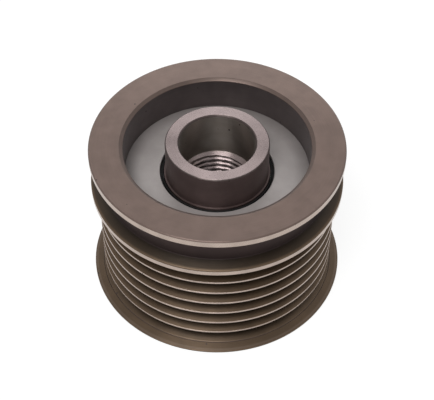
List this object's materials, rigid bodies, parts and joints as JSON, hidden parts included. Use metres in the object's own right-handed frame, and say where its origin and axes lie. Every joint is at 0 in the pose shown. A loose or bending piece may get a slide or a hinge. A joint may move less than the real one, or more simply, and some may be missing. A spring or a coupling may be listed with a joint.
{
  "type": "alternator pulley",
  "caption": "Overrunning pulley for a ribbed belt: grooved steel rim on a threaded hub, with roller bearings and a one-way roller clutch inside.",
  "frame": {"origin": "on the axis, at the front face of the rim, on which the pulley rests", "axes": "+Z along the shaft axis, from the front of the pulley towards the alternator; X and Y are free"},
  "size_m": [0.0588, 0.0588, 0.0382],
  "materials": {
    "browned_steel": "satin",
    "cover_steel": "satin",
    "bearing_steel": "gloss",
    "spring_steel": "satin",
    "seal_rubber": "matte",
    "cage_polymer": "matte"
  },
  "bodies": {
    "hub": {"hub_sleeve": "browned_steel", "rear_inner_ring": "bearing_steel", "front_inner_ring": "bearing_steel", "clutch_cam_ring": "bearing_steel", "clutch_rollers": "bearing_steel", "clutch_cage": "cage_polymer", "clutch_springs": "spring_steel", "rear_side_washer": "bearing_steel", "front_side_washer": "bearing_steel"},
    "pulley": {"pulley_rim": "browned_steel", "rear_cover_plate": "cover_steel", "front_cover_plate": "cover_steel", "rear_lip_seal": "seal_rubber", "front_lip_seal": "seal_rubber", "rear_outer_ring": "bearing_steel", "front_outer_ring": "bearing_steel", "clutch_outer_sleeve": "bearing_steel"},
    "rear_roller_set": {"rear_rollers": "bearing_steel", "rear_roller_cage": "cage_polymer"},
    "front_roller_set": {"front_rollers": "bearing_steel", "front_roller_cage": "cage_polymer"}
  },
  "joints": [
    {"name": "pulley_turn", "type": "hinge", "parent": "hub", "child": "pulley", "pos_m": [0, 0, 0], "axis": [0, 0, 1], "continuous": true},
    {"name": "rear_rollers_turn", "type": "hinge", "parent": "hub", "child": "rear_roller_set", "pos_m": [0, 0, 0], "axis": [0, 0, 1], "continuous": true},
    {"name": "front_rollers_turn", "type": "hinge", "parent": "hub", "child": "front_roller_set", "pos_m": [0, 0, 0], "axis": [0, 0, 1], "continuous": true}
  ],
  "couplings": [
    {"joint": "rear_rollers_turn", "follows": "pulley_turn", "ratio": 0.55828},
    {"joint": "front_rollers_turn", "follows": "pulley_turn", "ratio": 0.55828}
  ]
}
